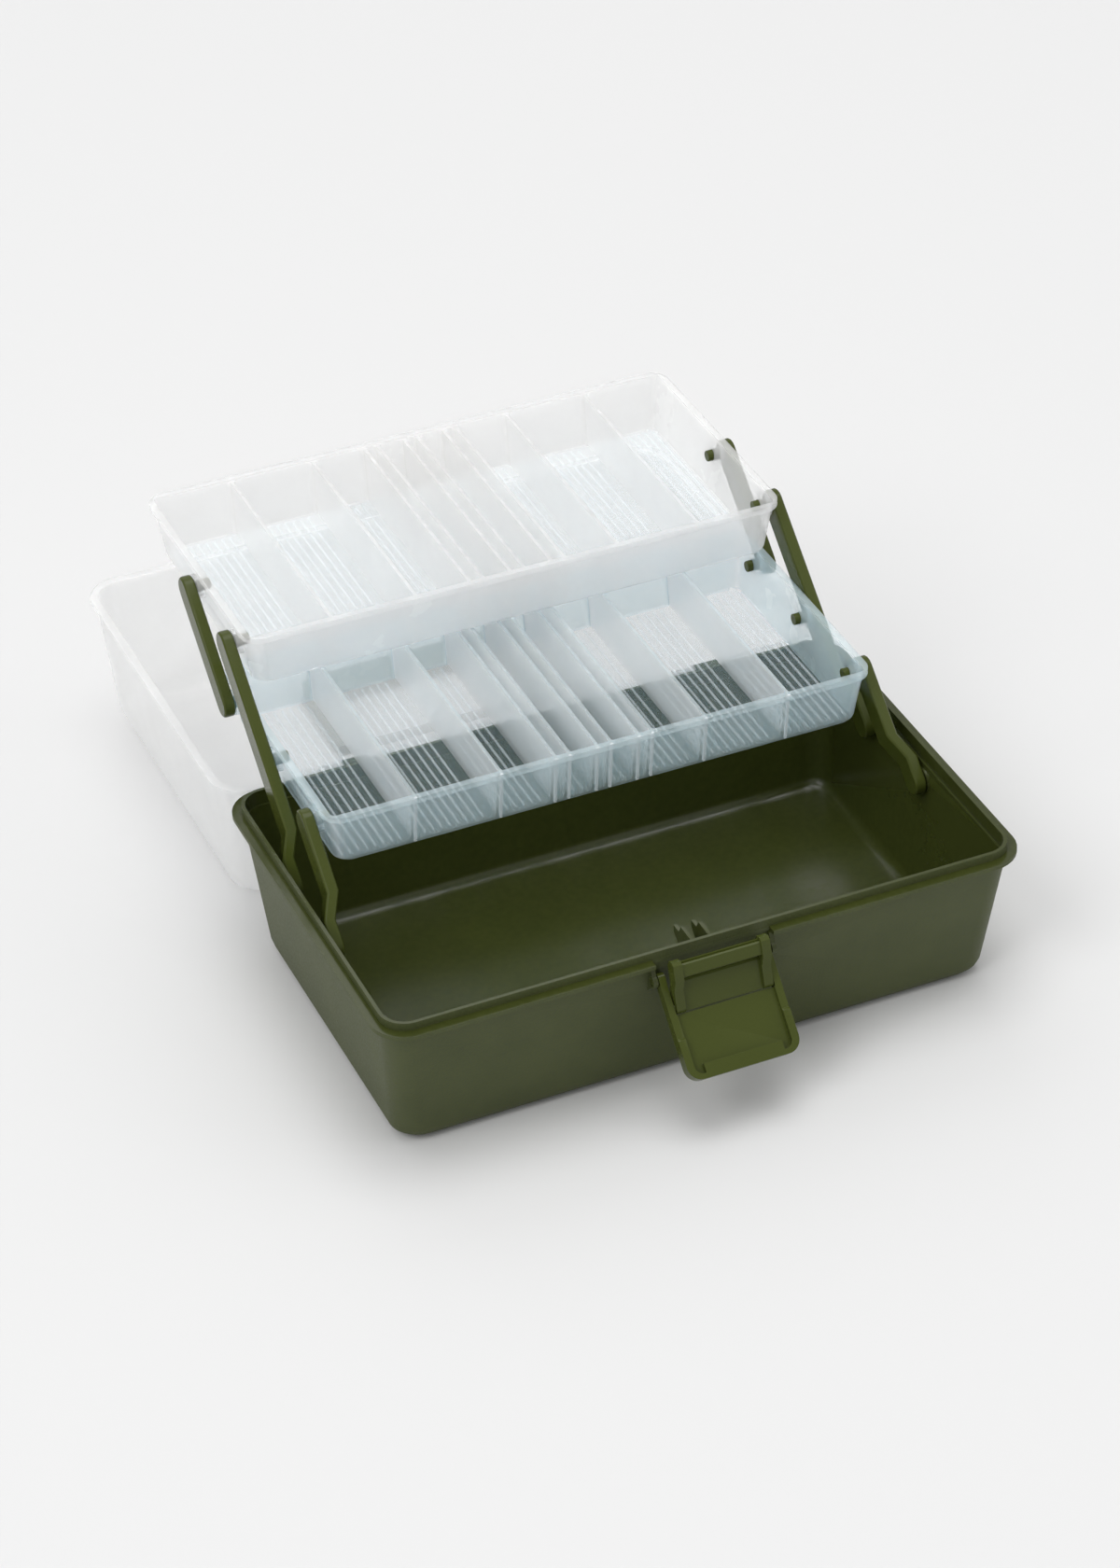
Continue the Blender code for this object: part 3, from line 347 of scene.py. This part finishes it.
def add_stage():
    """Pale floor, pale surroundings and four soft lights."""
    bm = bmesh.new()
    bmesh.ops.create_grid(bm, x_segments=1, y_segments=1, size=STAGE_HALF)
    mesh = bpy.data.meshes.new("floor")
    bm.to_mesh(mesh)
    bm.free()
    floor = bpy.data.objects.new("floor", mesh)
    bpy.context.scene.collection.objects.link(floor)
    floor.location.z = min(0.0, CAD_LOW.z) - STAGE_DROP
    material, _, shader = node_tree("floor")
    shader.inputs["Base Color"].default_value = (BACKDROP, BACKDROP, BACKDROP, 1.0)
    shader.inputs["Roughness"].default_value = 1.0
    shader.inputs["Specular IOR Level"].default_value = 0.0
    mesh.materials.append(material)
    world = bpy.data.worlds.new("world")
    world.use_nodes = True
    background = world.node_tree.nodes["Background"]
    background.inputs["Color"].default_value = (1.0, 1.0, 1.0, 1.0)
    background.inputs["Strength"].default_value = WORLD_STRENGTH
    bpy.context.scene.world = world
    bpy.context.scene.view_settings.view_transform = "Standard"
    bpy.context.scene.cycles.transparent_max_bounces = TRANSPARENT_STEPS
    for light in LIGHTS:
        add_area(*light)


def make_base():
    """The tub, with grain on its outside, and gloss and painted shade on its inside."""
    bm = clean_copy("base")
    centre = sum(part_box("base"), Vector()) / 2
    for face in bm.faces:
        middle = face.calc_center_median()
        outward = Vector((middle.x - centre.x, middle.y - centre.y, 0.0))
        # Inward- and upward-looking faces take the inside plastic, which is glossier and painted darker as
        # painted shade.
        inside = outward.dot(face.normal) < 0 or face.normal.z > UPWARD
        face.material_index = 1 if inside else 0
    piece = add_piece("tub", bm, [SHELL, INSIDE_PAINTED_SHADE], "olive_shell", "base", "base")
    soften(piece, TUB_EDGE)


def tray_floor_ribs(node):
    """Fine half-round ribs along each compartment's floor."""
    low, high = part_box(node)
    centre_y = (low.y + high.y) / 2
    floor_z = low.z + FLOOR_THICKNESS
    reach = (high.y - low.y) / 2 - RIB_END_GAP
    bm = bmesh.new()
    for middle, count in COMPARTMENT_RIBS:
        for side in (-1, 1):
            for i in range(count):
                x = side * middle + (i - (count - 1) / 2) * RIB_PITCH
                add_rib(bm, x, centre_y - reach, centre_y + reach, floor_z)
    bmesh.ops.recalc_face_normals(bm, faces=bm.faces)
    return bm


def add_rib(bm, x, y0, y1, z):
    """A half-round bar along Y, rooted in the floor, whose ends are rounded down."""
    stations = [(y0 + inset, size) for inset, size in RIB_ENDS]
    stations += [(y1 - inset, size) for inset, size in reversed(RIB_ENDS)]
    rings = []
    for y, size in stations:
        half = RIB_HALF * size
        ring = [bm.verts.new((x - half, y, z - RIB_ROOT)), bm.verts.new((x + half, y, z - RIB_ROOT))]
        for step in range(RIB_STEPS + 1):
            angle = math.pi * step / RIB_STEPS
            top = z + RIB_HEIGHT * size * math.sin(angle)
            ring.append(bm.verts.new((x + half * math.cos(angle), y, top)))
        rings.append(ring)
    for near, far in zip(rings, rings[1:]):
        for i in range(len(near)):
            j = (i + 1) % len(near)
            bm.faces.new((near[i], near[j], far[j], far[i]))
    bm.faces.new(rings[0])
    bm.faces.new(rings[-1])


def tray_seams(node):
    """The milky upright line at each end of a divider, inside the tray's long walls."""
    low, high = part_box(node)
    middle_y = (low.y + high.y) / 2
    top_reach = (high.y - low.y) / 2 - TRAY_RIM_WIDTH - SEAM_SKIN
    foot_reach = top_reach - TRAY_TAPER
    top_z = high.z - SEAM_TOP_DROP
    foot_z = low.z + SEAM_FOOT_RISE
    outline = [
        (foot_reach, foot_z),
        (top_reach, top_z),
        (top_reach - SEAM_DEPTH, top_z),
        (foot_reach - SEAM_DEPTH, foot_z),
    ]
    bm = bmesh.new()
    for distance in DIVIDERS_X:
        for x in (-distance, distance):
            for side in (-1, 1):
                points = [(x - SEAM_HALF, middle_y + side * y, z) for y, z in outline]
                face = bm.faces.new([bm.verts.new(point) for point in points])
                grown = bmesh.ops.extrude_face_region(bm, geom=[face])["geom"]
                moved = [item for item in grown if isinstance(item, bmesh.types.BMVert)]
                bmesh.ops.translate(bm, verts=moved, vec=(2 * SEAM_HALF, 0, 0))
    bmesh.ops.recalc_face_normals(bm, faces=bm.faces)
    return bm


def make_tray(node, wall, divider, seam):
    """A tray: milky walls, milkier dividers, and a clearer floor with ribs on it."""
    bm = clean_copy(node)
    low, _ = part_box(node)
    for face in bm.faces:
        middle = face.calc_center_median()
        if middle.z < low.z + FLOOR_THICKNESS + FACE_MARGIN and abs(face.normal.z) > FACING:
            face.material_index = 1
        elif abs(middle.x) < DIVIDERS_X[0] + DIVIDER_MARGIN and abs(face.normal.x) > FACING:
            face.material_index = 2
    piece = add_piece(
        node + "_moulded", bm, [wall, TRAY_FLOOR, divider], "frosted_tray", body_of(node), node
    )
    soften(piece, TRAY_EDGE, 2)
    add_piece(node + "_floor_ribs", tray_floor_ribs(node), [RIBS], "frosted_tray", body_of(node))
    add_piece(node + "_divider_seams", tray_seams(node), [seam], "frosted_tray", body_of(node))


SHELL = olive_plastic(
    "olive_shell", ((0.046, 0.057, 0.016), (0.073, 0.086, 0.027)), (0.48, 0.62), 1000.0, 0.16 * MM, 0.34
)
# The tub's inside: glossier, and painted darker as painted shade.
INSIDE_PAINTED_SHADE = olive_plastic(
    "olive_inside_painted_shade", ((0.036, 0.044, 0.009), (0.044, 0.053, 0.011)), (0.16, 0.22), 300.0, 0.01 * MM, 0.4
)
FITTINGS = olive_plastic(
    "olive_fittings", ((0.050, 0.062, 0.011), (0.056, 0.069, 0.013)), (0.15, 0.20), 1500.0, 0.01 * MM, 0.20
)
LOWER_TRAY = frosted_plastic("frosted_lower_tray", (0.67, 0.86, 1.0), 0.24, 0.31, gloss=0.4)
UPPER_TRAY = frosted_plastic("frosted_upper_tray", (1.0, 0.99, 0.97), 0.24, 0.34, gloss=0.4)
LOWER_DIVIDER = frosted_plastic("frosted_lower_divider", (0.88, 0.95, 0.98), 0.28, 0.46, gloss=0.3)
UPPER_DIVIDER = frosted_plastic("frosted_upper_divider", (1.0, 0.99, 0.97), 0.28, 0.30, gloss=0.3)
TRAY_FLOOR = frosted_plastic("frosted_tray_floor", (0.60, 0.82, 1.0), 0.34, 0.08, gloss=0.15)
RIBS = frosted_plastic("frosted_ribs", (0.92, 0.97, 1.0), 0.45, 0.17, milk=0.0, gloss=0.05)
LOWER_SEAM = frosted_plastic("frosted_lower_seam", (0.97, 0.99, 1.0), 0.45, 0.90, milk=0.0, gloss=0.1)
UPPER_SEAM = frosted_plastic("frosted_upper_seam", (1.0, 0.99, 0.97), 0.45, 0.30, milk=0.0, gloss=0.1)
LID = frosted_plastic("frosted_lid", (0.985, 0.98, 0.965), 0.30, 0.29)
STEEL = pin_steel()

make_base()
make_tray("lower_tray", LOWER_TRAY, LOWER_DIVIDER, LOWER_SEAM)
make_tray("upper_tray", UPPER_TRAY, UPPER_DIVIDER, UPPER_SEAM)
for name in sorted(NODES):
    if "_arm_" in name:
        moulded(name, FITTINGS, "olive_fittings", ARM_EDGE)
moulded("latch_lever", FITTINGS, "olive_fittings", LATCH_EDGE)
moulded("latch_hook", FITTINGS, "olive_fittings", LATCH_EDGE)
moulded("carry_handle", FITTINGS, "olive_fittings", HANDLE_EDGE)
moulded("lid", LID, "frosted_lid", LID_EDGE)
for side in ("left", "right"):
    moulded("hinge_pin_" + side, STEEL, "pin_steel", PIN_EDGE)

add_camera()
add_stage()
